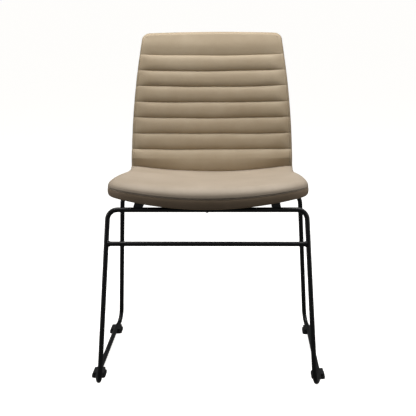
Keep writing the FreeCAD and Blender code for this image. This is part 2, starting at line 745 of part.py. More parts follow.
def glide(side, setback, rod_space):
    """Moulded saddle that snaps round the runner, with a low flange and two lugs."""
    share = (setback - FRONT_SWING) / (BASE_LENGTH - REAR_SWING - FRONT_SWING)
    x = side * (RUNNER_FRONT_HALF + (RUNNER_REAR_HALF - RUNNER_FRONT_HALF) * share)
    flange = rounded_pad(GLIDE_HALF_WIDTH, GLIDE_LENGTH, GLIDE_FLANGE_HEIGHT, GLIDE_CORNER, x, setback)
    lugs = rounded_pad(GLIDE_HALF_WIDTH - GLIDE_STEP, GLIDE_LENGTH - 2 * GLIDE_STEP,
                       ROD_HEIGHT + GLIDE_LUG_ABOVE_ROD_CENTRE, GLIDE_CORNER - GLIDE_STEP, x, setback)
    return flange.fuse(lugs).removeSplitter().cut(rod_space)


# Assembly

def build_parts():
    outer, inner = keep_region(0), keep_region(BORDER)
    shell = plywood_shell(inner)
    seat_panel, seat_band, seat_foam = pad(
        STATIONS, -OVERRUN, PATH.crease, 0, seat_top_row, outer, inner)
    back_panel, back_band, back_foam = pad(
        STATIONS, PATH.crease, PATH.end + OVERRUN, -REAR_LINING, back_front_row, outer, inner)
    parts = {
        "plywood_shell": shell,
        "seat_foam": seat_foam,
        "seat_top_panel": seat_panel,
        "seat_border_band": seat_band,
        "back_foam": back_foam,
        "back_front_panel": back_panel,
        "back_border_band": back_band,
        "back_rear_lining": rear_layer(-REAR_LINING, -SHELL_GLUE_GAP, inner),
        "back_rear_panel": rear_layer(-REAR_LINING - LEATHER, -REAR_LINING, outer),
        "underseat_cover": underseat_cover(),
        "front_bar_weld": bar_weld(FRONT_BAR_SETBACK, FRONT_BAR_HEIGHT),
        "rear_bar_weld": bar_weld(REAR_BAR_SETBACK, REAR_BAR_HEIGHT),
        "lower_crossbar": crossbar(),
        "crossbar_welds": Part.makeCompound([crossbar_weld(side) for side in (-1, 1)]),
        "seat_screws": Part.makeCompound([seat_screw(n) for n in range(4)]),
        "screw_washers": Part.makeCompound([screw_washer(n) for n in range(4)]),
        "tee_nuts": Part.makeCompound([tee_nut(n) for n in range(4)]),
    }
    for side, name in ((-1, "left"), (1, "right")):
        parts[name + "_frame_rod"] = side_rod(side, ROD_R)
        rod_space = side_rod(side, ROD_R + GLIDE_CLEARANCE)
        parts["front_" + name + "_glide"] = glide(side, FRONT_GLIDE_SETBACK, rod_space)
        parts["rear_" + name + "_glide"] = glide(side, REAR_GLIDE_SETBACK, rod_space)
    for number, name in enumerate(("front_left", "front_right", "rear_left", "rear_right")):
        parts[name + "_mount_tab"] = mount_tab(number)
        parts[name + "_spacer"] = mount_spacer(number, shell)
    return parts


def main():
    os.makedirs("parts", exist_ok=True)
    parts = build_parts()
    front = parts["left_frame_rod"].optimalBoundingBox(True, False).YMin
    rear = parts["back_rear_panel"].optimalBoundingBox(True, False).YMax
    to_origin = vec(0, -(front + rear) / 2, 0)
    for name, shape in parts.items():
        shape.translate(to_origin)
        shape.exportStep("parts/" + name + ".step")
        print(name, len(shape.Solids), shape.isValid(), round(shape.Volume))
    print("front", round(front, 2), "rear", round(rear, 2), "moved by", round(to_origin.y, 3))


if __name__ == "__main__":
    main()
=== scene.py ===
import json
import math

import bmesh
import bpy
from mathutils import Matrix, Vector


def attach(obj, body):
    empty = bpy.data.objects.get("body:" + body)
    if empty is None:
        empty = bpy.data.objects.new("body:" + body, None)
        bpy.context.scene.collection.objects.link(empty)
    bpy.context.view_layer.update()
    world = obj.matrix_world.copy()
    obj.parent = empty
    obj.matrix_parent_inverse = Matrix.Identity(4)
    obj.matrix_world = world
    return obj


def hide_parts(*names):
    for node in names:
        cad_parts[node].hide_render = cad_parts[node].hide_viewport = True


bl_info = {
    "name": "Sled Base Visitor Chair",
    "version": (1, 0, 0),
    "blender": (4, 5, 0),
    "location": "View3D > Sidebar > Chair",
    "description": "Upholsters and finishes a padded visitor chair on a steel rod sled base",
    "category": "Object",
}

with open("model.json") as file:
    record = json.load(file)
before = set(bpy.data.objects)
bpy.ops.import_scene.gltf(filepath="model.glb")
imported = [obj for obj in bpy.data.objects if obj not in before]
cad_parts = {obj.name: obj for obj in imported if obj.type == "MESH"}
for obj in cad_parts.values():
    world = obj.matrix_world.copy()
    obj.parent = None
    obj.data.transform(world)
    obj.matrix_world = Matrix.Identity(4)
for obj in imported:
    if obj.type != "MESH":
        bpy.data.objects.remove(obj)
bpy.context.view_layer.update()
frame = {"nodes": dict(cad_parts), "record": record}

MM = 0.001
WELD_REACH = 2e-5

# The moulded plywood shell under the upholstery, in millimetres: tangent arcs as (run, turn)
FRONT_SETBACK = 66.0
FRONT_HEIGHT = 425.8
FRONT_ANGLE = 2.0
BEND_RADIUS = 75.0
BEND_TURN = 83.0
BEND_RUN = BEND_RADIUS * math.radians(BEND_TURN)
BACK_RUN = 350.0
SEAT_ARCS = [(130.0, -5.0), (120.0, -1.5), (149.0, 3.5)]
SHELL_ARCS = SEAT_ARCS + [(BEND_RUN, BEND_TURN), (BACK_RUN, -8.5)]
BEND_START = sum(run for run, _ in SEAT_ARCS)
BEND_END = BEND_START + BEND_RUN
CREASE_TURN = 37.6
CREASE = BEND_START + BEND_RADIUS * math.radians(CREASE_TURN)
ORIGIN_SETBACK = 311.002
PLY = 11.0
PLY_INSET = 2.7
DISH_HALF = 190.0
DISH_FRONT = 13.9
DISH_REAR = 20.0
DISH_TOP = 15.0
DISH_LEVELLING = 0.2
GLUE_GAP = 0.1

# Outlines as (half width, setback) for the seat and (half width, height) for the back
CREASE_HALF = 223.0
SEAT_FRONT_CORNER = (190.0, 92.0)
SEAT_CORNER_MIDDLE = (231.0, 121.0)
SEAT_WIDEST = (246.0, 172.0)
SEAT_SIDE = (243.0, 225.0)
SEAT_WAIST = (232.5, 320.0)
SEAT_NECK = (226.0, 375.0)
SEAT_REAR = (CREASE_HALF, 440.0)
BACK_TOP_HEIGHT = 818.0
BACK_TOP_CORNER = (175.5, 812.0)
BACK_CORNER_MIDDLE = (189.6, 805.3)
BACK_SHOULDER = (195.5, 789.0)
BACK_SIDE = (217.5, 599.0)
BACK_LOW = (CREASE_HALF, 470.0)
SEAT_VIEW_DEPTH = 25.0
BACK_VIEW_DEPTH = 8.0

# Half widths up to which the grids take the front edge of the seat and the top edge of the back,
# and the run beyond them over which the normals turn square to the sides
SEAT_END_HALF = 229.0
BACK_END_HALF = 188.0
CORNER_REACH = 60.0

# Seat upholstery: depths above the shell's lower face
FRONT_ROLL = 32.0
SIDE_ROLL = 24.0
CREASE_PAD = 21.0
SEAT_ROWS = [(0.0, 48.5), (32.0, 48.5), (123.0, 45.2), (215.0, 41.0), (307.0, 36.0), (380.0, 31.5),
             (BEND_START, 30.5), (424.0, 26.5), (CREASE, CREASE_PAD)]
THINNING_FRONT = 9.3
THINNING_REAR = 1.5
SEAM_FRONT = 26.0
SEAM_REAR = 18.0
SEAM_THINNING = 3.0
SEAT_SLACK = 0.35
SEAT_ROLL_TURN = 86.0
SEAT_ROLL_STEPS = 10
WELT_RISE = 1.6
WELT_RADIUS = 0.9
WELT_OFFSET = -0.4
WELT_DROP = 1.5
WELT_SIDES = 8
WELT_END_GAP = 4.0

# Back upholstery
BOTTOM_PANEL = 41.5
GROOVE_PAD = 29.0
CHANNEL_RISE = 8.0
GROOVE_PITCH = 42.9
GROOVES = 7
FIRST_GROOVE = BEND_END + 23.0
LAST_GROOVE = FIRST_GROOVE + GROOVE_PITCH * (GROOVES - 1)
TOP_CROWN = 6.0
TOP_CROWN_RUN = 85.0
TOP_FALL = 7.0
TOP_FALL_START = 22.0
TOP_FALL_RUN = 48.0
SIDE_EDGE = 4.0
SIDE_EASE = 34.0
SIDE_FULLNESS = 0.3
PILLOW_POWER = 0.6
BOTTOM_POWER = 0.62
BACK_SLACK = 0.5
GROOVE_SAG = 0.9
GROOVE_HALF = 195.0
WAVE_LOW_EASE = 60.0
WAVE_TOP_GAP = 12.0
WAVE_TOP_EASE = 40.0
BACK_ROLL = 12.0
TOP_ROLL = 14.0
TOP_SEAM_PAD = 9.0
SIDE_SEAM_LOW = 9.0
SIDE_SEAM_HIGH = 3.5
SEAM_SINK = 2.0
BACK_ROLL_TURN = 82.0
BACK_ROLL_STEPS = 8

# Rear of the back
REAR_LEATHER = 5.4
REAR_CROWN = 1.2
REAR_CROWN_HALF = 215.0
REAR_INSIDE = -0.4
REAR_ROLL = 6.0
REAR_COLUMNS = 60
REAR_ROWS = 60

# Dust cloth under the seat, and the mounting tabs that it is cut out for, as (low, high) setbacks
CLOTH_MARGIN = 14.0
CLOTH_TOP = -0.25
CLOTH_END_GAP = 2.0
CLOTH_COLUMNS = 120
CLOTH_ROWS = 110
TAB_HALF_WIDTH = 11.0
TAB_OFFSET = 166.0
TAB_SETBACKS = ((93.7, 135.7), (364.0, 406.0))
TAB_CLEARANCE = 3.0


# The shell's surface

def path_at(s):
    """Setback, height and tangent angle of the shell's middle line at run s."""
    y, z, angle = FRONT_SETBACK, FRONT_HEIGHT, math.radians(FRONT_ANGLE)
    if s < 0:
        return y + s * math.cos(angle), z + s * math.sin(angle), angle
    for number, (run, turn) in enumerate(SHELL_ARCS):
        step = s if number == len(SHELL_ARCS) - 1 else min(s, run)
        swept = math.radians(turn) * step / run
        chord = 2 * step / swept * math.sin(swept / 2) if swept else step
        y += chord * math.cos(angle + swept / 2)
        z += chord * math.sin(angle + swept / 2)
        angle += swept
        s -= step
        if s <= 0:
            break
    return y, z, angle


def dish(s):
    """Rise of the shell's edges at DISH_HALF."""
    if s < BEND_START:
        return DISH_FRONT + (DISH_REAR - DISH_FRONT) * max(0.0, s) / BEND_START
    if s < BEND_END:
        return DISH_REAR
    return DISH_REAR + (DISH_TOP - DISH_REAR) * min(1.0, (s - BEND_END) / BACK_RUN)


def dish_share(x):
    """Rise at offset x as a share of that at DISH_HALF, levelling off beyond it."""
    over = abs(x) / DISH_HALF
    if over <= 1:
        return over ** 2
    beyond = min(over - 1, DISH_LEVELLING)
    return 1 + 2 * beyond - beyond ** 2 / DISH_LEVELLING


def shell_point(x, s, depth):
    """Place of a point at offset x, run s and depth above the shell's lower face, in metres."""
    y, z, angle = path_at(s)
    rise = depth + dish(s) * dish_share(x)
    return Vector((x, y - rise * math.sin(angle) - ORIGIN_SETBACK, z + rise * math.cos(angle))) * MM


def run_where(low, high, short):
    """Run between two others up to which a test holds."""
    for _ in range(30):
        middle = (low + high) / 2
        if short(middle):
            low = middle
        else:
            high = middle
    return low


def run_at(y):
    """Run of the seat whose middle line point, at the outline's depth, has the setback y."""
    def short(s):
        at_y, _, angle = path_at(s)
        return at_y - SEAT_VIEW_DEPTH * math.sin(angle) < y
    return run_where(-40.0, CREASE, short)


def run_at_height(z):
    """Run of the back whose middle line point, at the outline's depth, has the height z."""
    def short(s):
        _, at_z, angle = path_at(s)
        return at_z + BACK_VIEW_DEPTH * math.cos(angle) < z
    return run_where(CREASE, BEND_END + BACK_RUN + 40, short)


# Small curve helpers

def smooth(value):
    """Eased step that is 0 up to 0 and 1 from 1 on."""
    value = min(1.0, max(0.0, value))
    return value * value * (3 - 2 * value)


def curve_through(rows, s):
    """Curve with steady slopes through (s, value) rows."""
    if s <= rows[0][0]:
        return rows[0][1]
    if s >= rows[-1][0]:
        return rows[-1][1]
    slopes = []
    for i in range(len(rows)):
        a, b = rows[max(0, i - 1)], rows[min(len(rows) - 1, i + 1)]
        slopes.append((b[1] - a[1]) / (b[0] - a[0]))
    for i, ((a, low), (b, high)) in enumerate(zip(rows, rows[1:])):
        if s <= b:
            t, h = (s - a) / (b - a), b - a
            return ((2 * t ** 3 - 3 * t ** 2 + 1) * low + (t ** 3 - 2 * t ** 2 + t) * h * slopes[i]
                    + (3 * t ** 2 - 2 * t ** 3) * high + (t ** 3 - t ** 2) * h * slopes[i + 1])


def arc_points(a, middle, b, count=24):
    """Points on the arc through three points."""
    ax, ay, bx, by, cx, cy = *a, *middle, *b
    double_area = 2 * (ax * (by - cy) + bx * (cy - ay) + cx * (ay - by))
    far_a, far_b, far_c = (x * x + y * y for x, y in (a, middle, b))
    ux = (far_a * (by - cy) + far_b * (cy - ay) + far_c * (ay - by)) / double_area
    uy = (far_a * (cx - bx) + far_b * (ax - cx) + far_c * (bx - ax)) / double_area
    r = math.hypot(ax - ux, ay - uy)
    start, through, stop = (math.atan2(y - uy, x - ux) for x, y in (a, middle, b))
    through += round((start - through) / math.tau) * math.tau
    stop += round((through - stop) / math.tau) * math.tau
    turns = [start + (stop - start) * i / count for i in range(count + 1)]
    return [(ux + r * math.cos(t), uy + r * math.sin(t)) for t in turns]


def relax(points, passes):
    """Softens the joins of a chain, ends kept."""
    for _ in range(passes):
        points = [points[0]] + [tuple((a + 2 * b + c) / 4 for a, b, c in zip(p, q, r))
                                for p, q, r in zip(points, points[1:], points[2:])] + [points[-1]]
    return points


def seat_half():
    """Half outline of the seat in (offset, run), from the front middle to the crease."""
    x, y = SEAT_FRONT_CORNER
    plan = arc_points((-x, y), (0.0, FRONT_SETBACK), (x, y), 48)[24:]
    plan += arc_points(SEAT_FRONT_CORNER, SEAT_CORNER_MIDDLE, SEAT_WIDEST)[1:]
    plan += arc_points(SEAT_WIDEST, SEAT_SIDE, SEAT_WAIST)[1:]
    plan += arc_points(SEAT_WAIST, SEAT_NECK, SEAT_REAR)[1:]
    return relax([(x, run_at(y)) for x, y in plan], 6) + [(CREASE_HALF, CREASE)]


def back_half():
    """Half outline of the back in (offset, run), from the top middle to the crease."""
    x, z = BACK_TOP_CORNER
    view = arc_points((-x, z), (0.0, BACK_TOP_HEIGHT), (x, z), 48)[24:]
    view += arc_points(BACK_TOP_CORNER, BACK_CORNER_MIDDLE, BACK_SHOULDER)[1:]
    view += arc_points(BACK_SHOULDER, BACK_SIDE, BACK_LOW, 48)[1:]
    return relax([(x, run_at_height(z)) for x, z in view], 3) + [(CREASE_HALF, CREASE)]


def at_offset(half, x):
    """Point of a half outline at offset x, before its widest place."""
    for (a, s), (b, t) in zip(half, half[1:]):
        if abs(x) <= b:
            return x, s + (t - s) * max(0.0, abs(x) - a) / (b - a)
    raise ValueError("no such offset on the outline")


def offset_at(half, s):
    """Offset of a half outline at run s."""
    for (a, low), (b, high) in zip(half, half[1:]):
        if min(low, high) <= s <= max(low, high) and high != low:
            return a + (b - a) * (s - low) / (high - low)
    return half[-1][0]


def even_runs(start, stop, count):
    """Evenly spaced runs after a start, up to a stop."""
    return [start + (stop - start) * i / count for i in range(1, count + 1)]


def settle_between(level, held):
    """How much of its end's form a row keeps: none at the run level, all of it at the run held."""
    return lambda s: smooth((s - level) / (held - level))


# Closed upholstery: a patch over the pad, and a profile that runs from its rim to the pad's inside

class PadForm:
    """Grid over a pad: an end side, rows down to the crease, and the points round them."""

    def __init__(self, half, corner, across, runs, settle, roll, wave=lambda x, s: 0.0):
        self.across = across
        self.settle = settle
        self.end = [at_offset(half, corner * (2 * i / across - 1)) for i in range(across + 1)]
        self.right = [self.end[-1]] + [(offset_at(half, s), s) for s in runs]
        self.rows = len(self.right) - 1
        left = [(-x, s) for x, s in self.right]
        chain = left[::-1] + self.end[1:-1] + self.right
        normals = self.outward(chain)
        self.end_normals = normals[self.rows:self.rows + across + 1]
        self.right_normals = normals[self.rows + across:]
        self.roll = roll
        self.wave = wave

    def place(self, x, s, depth):
        """Point of the pad in metres, with its rows drawn out of line as sewn leather is."""
        return shell_point(x, s + self.wave(x, s), depth)

    def moved(self, reach):
        """End and right side moved outward along their normals, by a reach that may depend on these."""
        sides = ((self.end, self.end_normals), (self.right, self.right_normals))
        return [[(x + nx * reach(nx, ns), s + ns * reach(nx, ns)) for (x, s), (nx, ns) in zip(side, normals)]
                for side, normals in sides]

    def outward(self, chain):
        """Unit normals away from the pad, square to the sides where they run straight."""
        sign = 1 if self.end[0][1] < self.right[-1][1] else -1
        out = []
        for i, (x, s) in enumerate(chain):
            a, b = chain[max(0, i - 1)], chain[min(len(chain) - 1, i + 1)]
            nx, ns = sign * (b[1] - a[1]), -sign * (b[0] - a[0])
            away = abs(s - self.end[-1][1]) / CORNER_REACH
            if not self.rows < i < self.rows + self.across:
                ns *= 1 - smooth(away)
            length = math.hypot(nx, ns)
            out.append((nx / length, ns / length))
        return out

    def around(self):
        """(x, run, normal x, normal run, on the crease) round the pad, in the order of its rim."""
        across, rows = self.across, self.rows
        points = [(*p, *n, False) for p, n in zip(self.end, self.end_normals)]
        points += [(*p, *n, False) for p, n in zip(self.right[1:], self.right_normals[1:])]
        width = self.right[-1][0]
        for i in range(across - 1, -1, -1):
            x = width * (2 * i / across - 1)
            points.append((x, CREASE, x / width, 0.0, i > 0))
        points += [(-p[0], p[1], -n[0], n[1], False)
                   for p, n in zip(self.right[rows - 1:0:-1], self.right_normals[rows - 1:0:-1])]
        return points

    def patch(self, end, right):
        """Grid of (x, run) between an end side and a right side, mirrored to the left."""
        grid = []
        corner_x, corner_s = right[0]
        for x, s in right:
            hold = self.settle(s)
            row = []
            for end_x, end_s in end:
                across = end_x / corner_x
                row.append((x * across + (end_x - corner_x * across) * hold, s + (end_s - corner_s) * hold))
            grid.append(row)
        return grid


def in_order(points):
    """Points whose runs go one way, kept apart where a tight corner would fold them."""
    apart = 0.15
    sign = 1 if points[-1][1] > points[0][1] else -1
    kept = [points[0]]
    for x, s in points[1:]:
        kept.append((x, sign * max(sign * s, sign * kept[-1][1] + apart)))
    return kept


def rim(grid):
    """Entries of a grid round its rim, in the order of PadForm.around."""
    last = len(grid) - 1
    return (list(grid[0]) + [row[-1] for row in grid[1:]] + grid[last][-2::-1]
            + [grid[j][0] for j in range(last - 1, 0, -1)])


def upholster(form, top, profile, panel_rings, names, floor_depth, materials):
    """Builds a panel and a border piece from the top's depth and a profile of (offset, depth) rings."""
    mesh = bmesh.new()
    around = form.around()
    profiles = [profile(*point) for point in around]
    end, right = form.moved(lambda nx, ns: -form.roll(nx, ns))
    upper = [[mesh.verts.new(form.place(x, s, top(x, s))) for x, s in row]
             for row in form.patch(end, in_order(right))]
    fill(mesh, upper, 0)
    loops = [rim(upper)]
    for number in range(len(profiles[0])):
        loop = []
        for (x, s, nx, ns, _), rings in zip(around, profiles):
            offset, depth = rings[number]
            loop.append(mesh.verts.new(form.place(x + nx * offset, s + ns * offset, depth)))
        loops.append(loop)
    for number, (a, b) in enumerate(zip(loops, loops[1:])):
        for k in range(len(a)):
            following = (k + 1) % len(a)
            face = mesh.faces.new((a[k], a[following], b[following], b[k]))
            face.material_index = 0 if number < panel_rings else 1
    inmost = profiles[0][-1][0]
    lower = [[mesh.verts.new(form.place(x, s, floor_depth)) for x, s in row]
             for row in form.patch(*form.moved(lambda nx, ns: inmost))]
    fill(mesh, lower, 1)
    bmesh.ops.remove_doubles(mesh, verts=mesh.verts, dist=WELD_REACH)
    bmesh.ops.recalc_face_normals(mesh, faces=mesh.faces)
    pieces = [part_of(mesh, number, names[number], materials[number]) for number in (0, 1)]
    mesh.free()
    return pieces


def fill(mesh, grid, material):
    """Faces over a grid of vertices, all with one material number."""
    for row, following in zip(grid, grid[1:]):
        for i in range(len(row) - 1):
            face = mesh.faces.new((row[i], row[i + 1], following[i + 1], following[i]))
            face.material_index = material


def part_of(mesh, number, name, material):
    """New object from the faces of one number in a mesh."""
    copy = mesh.copy()
    bmesh.ops.delete(copy, geom=[f for f in copy.faces if f.material_index != number], context="FACES")
    for face in copy.faces:
        face.material_index = 0
        face.smooth = True
    return new_piece(name, copy, material)


def new_piece(name, mesh, material):
    """New object in the scene from a mesh, which is freed."""
    data = bpy.data.meshes.new(name)
    mesh.to_mesh(data)
    mesh.free()
    piece = bpy.data.objects.new(name, data)
    bpy.context.scene.collection.objects.link(piece)
    data.materials.append(material)
    return piece


# Form of the seat pad

def seat_front(x):
    """Run at which the seat's front edge lies at offset x."""
    corner_x, corner_y = SEAT_FRONT_CORNER
    bow = corner_y - FRONT_SETBACK
    if abs(x) <= corner_x:
        return bow * (x / corner_x) ** 2
    share = min(1.0, (abs(x) - corner_x) / (SEAT_WIDEST[0] - corner_x))
    return bow + (SEAT_WIDEST[1] - corner_y) * (1 - math.sqrt(1 - share ** 2))


def seat_share(s):
    """Share of the way from the seat's front to the crease."""
    return min(1.0, max(0.0, s / CREASE))


def seat_top(x, s):
    """Depth of the seat's top, thinner towards its sides, with the slack that sewn leather has."""
    bow = seat_front(x) * (1 - smooth(s / BEND_START))
    thinning = THINNING_FRONT + (THINNING_REAR - THINNING_FRONT) * seat_share(s)
    slack = SEAT_SLACK * math.sin(x / 37.0 + 0.4 * math.sin(s / 51.0)) * math.sin(s / 43.0 + 0.7)
    return curve_through(SEAT_ROWS, s - bow) - thinning * dish_share(x) + slack


def seat_seam(x, s):
    """Depth of the seam between the seat's top and its band."""
    return SEAM_FRONT + (SEAM_REAR - SEAM_FRONT) * seat_share(s) - SEAM_THINNING * dish_share(x)


def seat_roll(nx, ns):
    """Radius of the seat's roll where its edge faces this way."""
    return SIDE_ROLL + (FRONT_ROLL - SIDE_ROLL) * ns * ns


def seat_profile(x, s, nx, ns, on_crease):
    """Roll to the seam, a welt with its pinch, the upright band, and the turn under the shell."""
    roll = seat_roll(nx, ns)
    seam = seat_seam(x, s)
    high = seat_top(x - nx * roll, s - ns * roll)
    edge = seam + WELT_RISE
    rings = []
    for step in range(1, SEAT_ROLL_STEPS + 1):
        turn = math.radians(SEAT_ROLL_TURN) * step / SEAT_ROLL_STEPS
        rings.append((-roll * (1 - math.sin(turn)), edge + (high - edge) * math.cos(turn)))
    rings += [(0.5, seam + 1.2), (0.3, seam + 0.3), (-0.9, seam - 0.1), (-1.9, seam - 0.5)]
    rings += [(-0.8, seam - 1.3), (0.3, seam - 3.0), (1.1, seam * 0.7), (1.2, seam * 0.45), (0.5, 4.6)]
    rings += [(0.3, 3.2), (-0.5, 1.6), (-1.6, 0.3), (-3.0, -0.6), (-5.0, -1.2), (-13.5, -1.4)]
    rings += [(-13.5, -GLUE_GAP), (-PLY_INSET, -GLUE_GAP), (-PLY_INSET, PLY + GLUE_GAP)]
    return kept_off_ply(rings, on_crease)


def kept_off_ply(rings, on_crease):
    """Across the crease the profile stays above the plywood, which runs on from seat to back."""
    if not on_crease:
        return rings
    return [(offset, max(depth, PLY + GLUE_GAP)) for offset, depth in rings]


# Rings of the profile that belong to the panel: its roll and the pinch at the seam
SEAT_PANEL_RINGS = SEAT_ROLL_STEPS + 4
BACK_PANEL_RINGS = BACK_ROLL_STEPS + 2
REAR_PANEL_RINGS = 4


def seat_welt(form, stop):
    """Thin round welt under the seat's seam, up to a run."""
    mesh = bmesh.new()
    points = [point for point in form.around() if not point[4]]
    split = form.across + 1 + form.rows
    turns = [math.tau * k / WELT_SIDES for k in range(WELT_SIDES)]
    loops = []
    for x, s, nx, ns, _ in points[split:] + points[:split]:
        if s > stop:
            continue
        loop = []
        for turn in turns:
            out = WELT_OFFSET + WELT_RADIUS * math.cos(turn)
            depth = seat_seam(x, s) - WELT_DROP + WELT_RADIUS * math.sin(turn)
            loop.append(mesh.verts.new(form.place(x + nx * out, s + ns * out, depth)))
        loops.append(loop)
    for a, b in zip(loops, loops[1:]):
        for k in range(WELT_SIDES):
            mesh.faces.new((a[k], a[k - 1], b[k - 1], b[k])).smooth = True
    mesh.faces.new(loops[0])
    mesh.faces.new(loops[-1])
    bmesh.ops.recalc_face_normals(mesh, faces=mesh.faces)
    return mesh


# Form of the back pad

def pillow(share, power):
    """Section of a stuffed channel: steep at its two seams, round between them."""
    squareness = 2.4
    return (1 - abs(2 * share - 1) ** squareness) ** power


def back_front(x, s):
    """Depth of the back's channelled face."""
    low = CREASE_PAD - THINNING_REAR * dish_share(x)
    half = CREASE_HALF - (CREASE_HALF - BACK_SHOULDER[0]) * smooth((s - BEND_END) / BACK_RUN)
    side = smooth((half - abs(x) - SIDE_EDGE) / SIDE_EASE)
    full = SIDE_FULLNESS + (1 - SIDE_FULLNESS) * side
    slack = BACK_SLACK * math.sin(x / 23.0 + s / 61.0) * math.sin(x / 57.0 + 1.1)
    if s < FIRST_GROOVE:
        share = (s - CREASE) / (FIRST_GROOVE - CREASE)
        level = low + (GROOVE_PAD - low) * share
        rise = BOTTOM_PANEL - (CREASE_PAD + GROOVE_PAD) / 2
        return level + rise * pillow(share, BOTTOM_POWER) * (0.75 + 0.25 * side)
    if s < LAST_GROOVE:
        share = (s - FIRST_GROOVE) / GROOVE_PITCH
        share -= math.floor(share)
        return GROOVE_PAD + (CHANNEL_RISE * full + slack) * pillow(share, PILLOW_POWER)
    share = min(1.0, (s - LAST_GROOVE) / TOP_CROWN_RUN)
    fall = TOP_FALL * smooth((s - LAST_GROOVE - TOP_FALL_START) / TOP_FALL_RUN)
    return GROOVE_PAD + (TOP_CROWN * full + slack) * pillow(share * 0.6, PILLOW_POWER) - fall


def back_roll(nx, ns):
    """Radius of the back's roll where its edge faces this way."""
    return BACK_ROLL + (TOP_ROLL - BACK_ROLL) * ns * ns


def groove_wave(x, s):
    """How far the sewn grooves sag in the middle and wander from straight lines."""
    held = smooth((s - CREASE) / WAVE_LOW_EASE)
    held *= smooth((BEND_END + BACK_RUN - WAVE_TOP_GAP - s) / WAVE_TOP_EASE)
    wander = 0.45 * math.sin(x / 61.0 + s / 17.0) + 0.3 * math.sin(x / 27.0 - s / 23.0)
    return held * (wander - GROOVE_SAG * (1.0 - (x / GROOVE_HALF) ** 2))


def side_seam(s):
    """How far the seam at the back's sides lies inside its outline."""
    share = min(1.0, max(0.0, (s - CREASE) / (BEND_END + BACK_RUN - CREASE)))
    return SIDE_SEAM_LOW + (SIDE_SEAM_HIGH - SIDE_SEAM_LOW) * share


def back_profile(x, s, nx, ns, on_crease):
    """Short roll to the side seam, the boxed border round the edge, and the turn on to the rear."""
    roll = back_roll(nx, ns)
    high = back_front(x - nx * roll, s - ns * roll)
    inward = side_seam(s)
    seam = high - SEAM_SINK
    at_side, at_top = [], []
    for step in range(1, BACK_ROLL_STEPS + 1):
        turn = math.radians(BACK_ROLL_TURN) * step / BACK_ROLL_STEPS
        fall = math.cos(turn)
        at_side.append((-inward - (roll - inward) * (1 - math.sin(turn)), seam + (high - seam) * fall))
        at_top.append((-roll * (1 - math.sin(turn)), TOP_SEAM_PAD + (high - TOP_SEAM_PAD) * fall))
    at_side += [(-inward + 0.2, seam - 0.4), (-inward + 0.1, seam - 1.2)]
    at_side += [(-inward * 0.82, seam - 0.6), (-inward * 0.6, seam - 1.6), (-inward * 0.38, seam - 3.8)]
    at_side += [(-inward * 0.18, seam - 7.0), (-0.2, seam - 12.0), (0.3, 9.5), (0.2, 4.0)]
    at_top += [(-0.2, TOP_SEAM_PAD - 0.4), (-0.7, TOP_SEAM_PAD - 1.0)]
    at_top += [(-0.7, 7.6), (-0.3, 7.0), (-0.1, 6.2), (0.0, 5.4), (0.0, 4.6), (0.0, 3.6), (-0.1, 2.0)]
    share = ns * ns
    rings = [(a + (c - a) * share, b + (d - b) * share) for (a, b), (c, d) in zip(at_side, at_top)]
    rings += [(-0.4, 0.0), (-1.4, -2.6), (-3.0, -4.0), (-4.6, -4.4), (-8.0, -4.0)]
    rings += [(-8.0, -GLUE_GAP), (-PLY_INSET, -GLUE_GAP), (-PLY_INSET, PLY + GLUE_GAP)]
    return kept_off_ply(rings, on_crease)


def channel_runs(start):
    """Runs of the back's rows from a start near the top down to the crease, close at each groove."""
    near = [0.0, 0.012, 0.035, 0.075, 0.13, 0.2, 0.29, 0.39]
    steps = near + [0.5] + [1 - step for step in near[:0:-1]]
    runs = []
    for number in range(GROOVES - 1):
        runs += [FIRST_GROOVE + GROOVE_PITCH * (number + step) for step in steps]
    bottom = [CREASE + (FIRST_GROOVE - CREASE) * step for step in steps]
    top = [LAST_GROOVE + (start - LAST_GROOVE) * step for step in steps]
    return sorted(bottom + runs + top, reverse=True)


# Finishes. Colours are sRGB hex values

def linear(code):
    """Linear colour from an sRGB hex value."""
    parts = [int(code[i:i + 2], 16) / 255 for i in (1, 3, 5)]
    return [p / 12.92 if p <= 0.04045 else ((p + 0.055) / 1.055) ** 2.4 for p in parts] + [1.0]


def add(tree, kind, settings=None, links=None):
    """New node with its settings and the outputs that feed it."""
    node = tree.nodes.new(kind)
    for name, value in (settings or {}).items():
        if isinstance(name, int) or name in node.inputs:
            node.inputs[name].default_value = value
        else:
            setattr(node, name, value)
    for name, source in (links or {}).items():
        tree.links.new(source, node.inputs[name])
    return node


def new_material(name):
    """Empty material, its node tree and the place of each point in metres."""
    material = bpy.data.materials.new(name)
    material.use_nodes = True
    tree = material.node_tree
    tree.nodes.clear()
    place = add(tree, "ShaderNodeTexCoord").outputs["Object"]
    return material, tree, place


def finish_material(tree, settings, links):
    """Shader with its settings and links, and the material's output."""
    shader = add(tree, "ShaderNodeBsdfPrincipled", settings, links)
    add(tree, "ShaderNodeOutputMaterial", links={"Surface": shader.outputs["BSDF"]})


def noise(tree, place, scale, detail):
    """Noise pattern over a place in metres."""
    settings = {"Scale": scale, "Detail": detail}
    return add(tree, "ShaderNodeTexNoise", settings, {"Vector": place}).outputs["Fac"]


def cells(tree, place, size_mm, randomness):
    """Cell pattern with cells of a real size."""
    settings = {"Scale": 1000.0 / size_mm, "Randomness": randomness}
    return add(tree, "ShaderNodeTexVoronoi", settings, {"Vector": place}).outputs["Distance"]


def between(tree, source, least, most):
    """Value between two others, as a source rises from 0 to 1."""
    node = add(tree, "ShaderNodeMapRange", {"To Min": least, "To Max": most}, {"Value": source})
    return node.outputs["Result"]


def tinted(tree, source, dark, light, low=0.0, high=1.0):
    """Colour between two tints, as a source rises from low to high."""
    ramp = add(tree, "ShaderNodeValToRGB", links={"Fac": source})
    for stop, position, code in zip(ramp.color_ramp.elements, (low, high), (dark, light)):
        stop.position = position
        stop.color = linear(code)
    return ramp.outputs["Color"]


